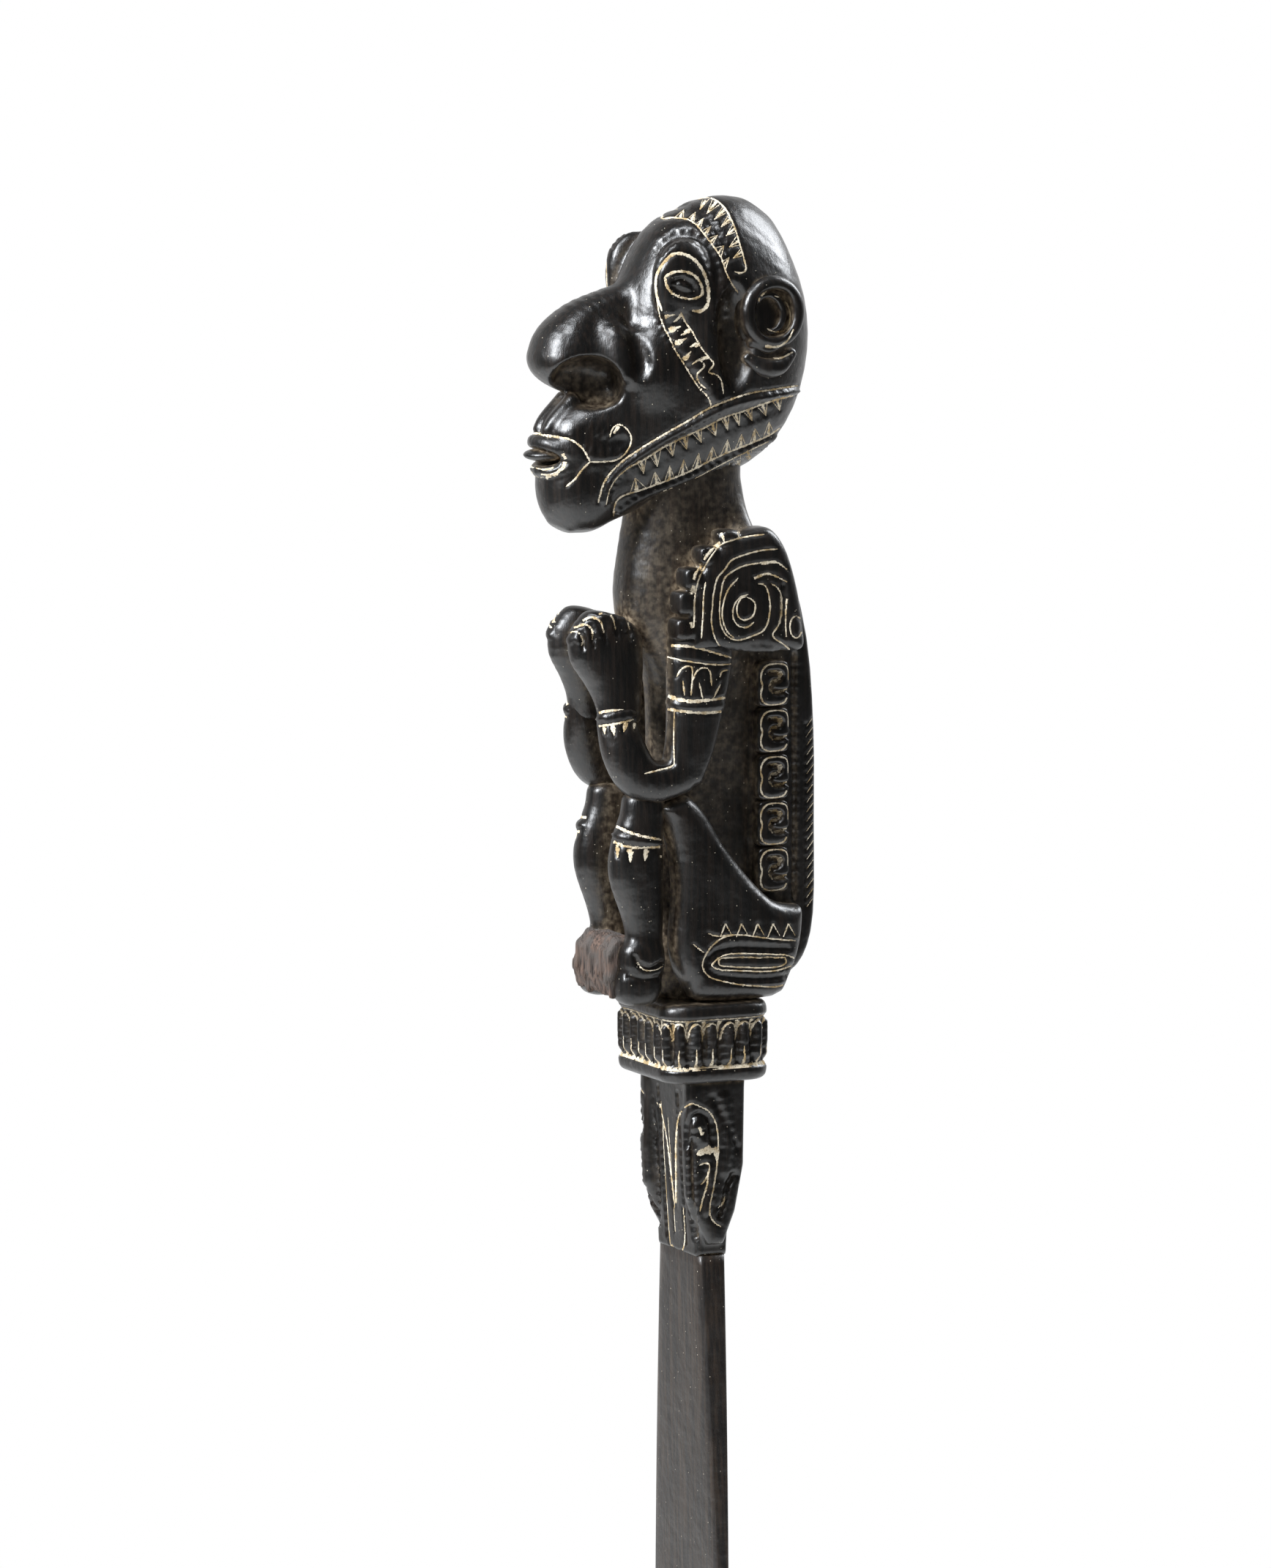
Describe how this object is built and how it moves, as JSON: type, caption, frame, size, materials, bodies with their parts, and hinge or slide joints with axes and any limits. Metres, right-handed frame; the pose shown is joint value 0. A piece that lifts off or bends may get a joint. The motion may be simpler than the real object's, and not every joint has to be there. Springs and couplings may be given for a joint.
{
  "type": "lime spatula",
  "caption": "Carved lime spatula: a long flat blade under a squatting figure with a hooked nose, scroll ears and a lime-filled tooth band.",
  "frame": {"origin": "the blade's tip, on its centre line and in the middle of its thickness", "axes": "+Z from the blade's tip to the crown of the head, -Y the way the figure faces, +X the figure's left"},
  "size_m": [0.0264, 0.045, 0.3597],
  "materials": {
    "ebony": "polished",
    "broken_wood": "matte",
    "lime": "matte"
  },
  "bodies": {
    "root": {"back_board": "ebony", "blade": "ebony", "collar_stem": "ebony", "drum": "ebony", "drum_lime": "lime", "foot_web": "broken_wood", "head": "ebony", "left_arm_band": "ebony", "left_collar_wing": "ebony", "left_ear": "ebony", "left_eye": "ebony", "left_eye_lime": "lime", "left_foot": "ebony", "left_forearm": "ebony", "left_hand": "ebony", "left_knee_band": "ebony", "left_shin": "ebony", "left_shoulder": "ebony", "left_shoulder_lime": "lime", "left_spine_chain": "ebony", "left_thigh": "ebony", "left_upper_arm": "ebony", "left_wrist_band": "ebony", "lips": "ebony", "neck": "ebony", "nose": "ebony", "right_arm_band": "ebony", "right_collar_wing": "ebony", "right_ear": "ebony", "right_eye": "ebony", "right_eye_lime": "lime", "right_foot": "ebony", "right_forearm": "ebony", "right_hand": "ebony", "right_knee_band": "ebony", "right_shin": "ebony", "right_shoulder": "ebony", "right_shoulder_lime": "lime", "right_spine_chain": "ebony", "right_thigh": "ebony", "right_upper_arm": "ebony", "right_wrist_band": "ebony", "torso": "ebony"}
  },
  "joints": []
}
